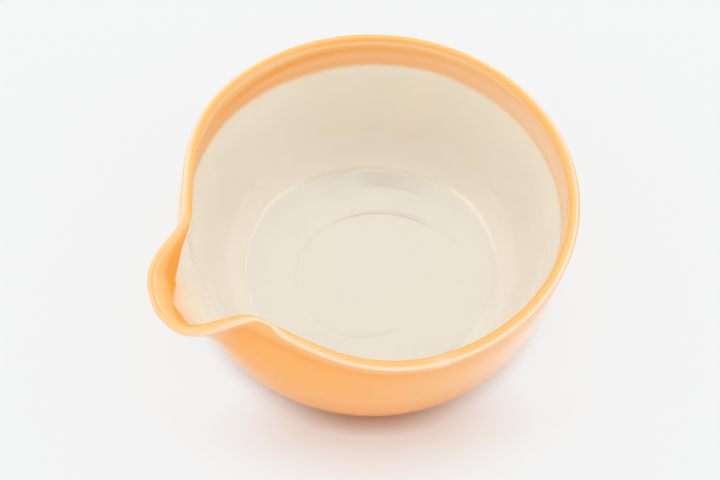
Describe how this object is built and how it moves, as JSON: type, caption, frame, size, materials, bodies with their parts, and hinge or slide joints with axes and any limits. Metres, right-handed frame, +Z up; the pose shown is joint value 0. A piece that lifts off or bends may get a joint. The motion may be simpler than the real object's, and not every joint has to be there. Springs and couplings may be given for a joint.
{
  "type": "spouted bowl",
  "caption": "Round thrown stoneware bowl with a pouring spout pulled from its rim, cream glaze inside and orange glaze outside and over the rim.",
  "frame": {"origin": "middle of the flat base, on the bowl's axis of turning, on the surface it stands on", "axes": "+Z up along the axis of turning, +X towards the spout, Y across the spout's plane of symmetry"},
  "size_m": [0.1735, 0.159, 0.063],
  "materials": {
    "bare_clay": "matt fired stoneware, bare on the base",
    "cream_glaze": "glossy cream liner glaze",
    "orange_glaze": "glossy orange glaze, paler where it thins over the rim"
  },
  "bodies": {
    "root": {"clay_body": "bare_clay", "liner_glaze": "cream_glaze", "outer_glaze": "orange_glaze"}
  },
  "joints": []
}
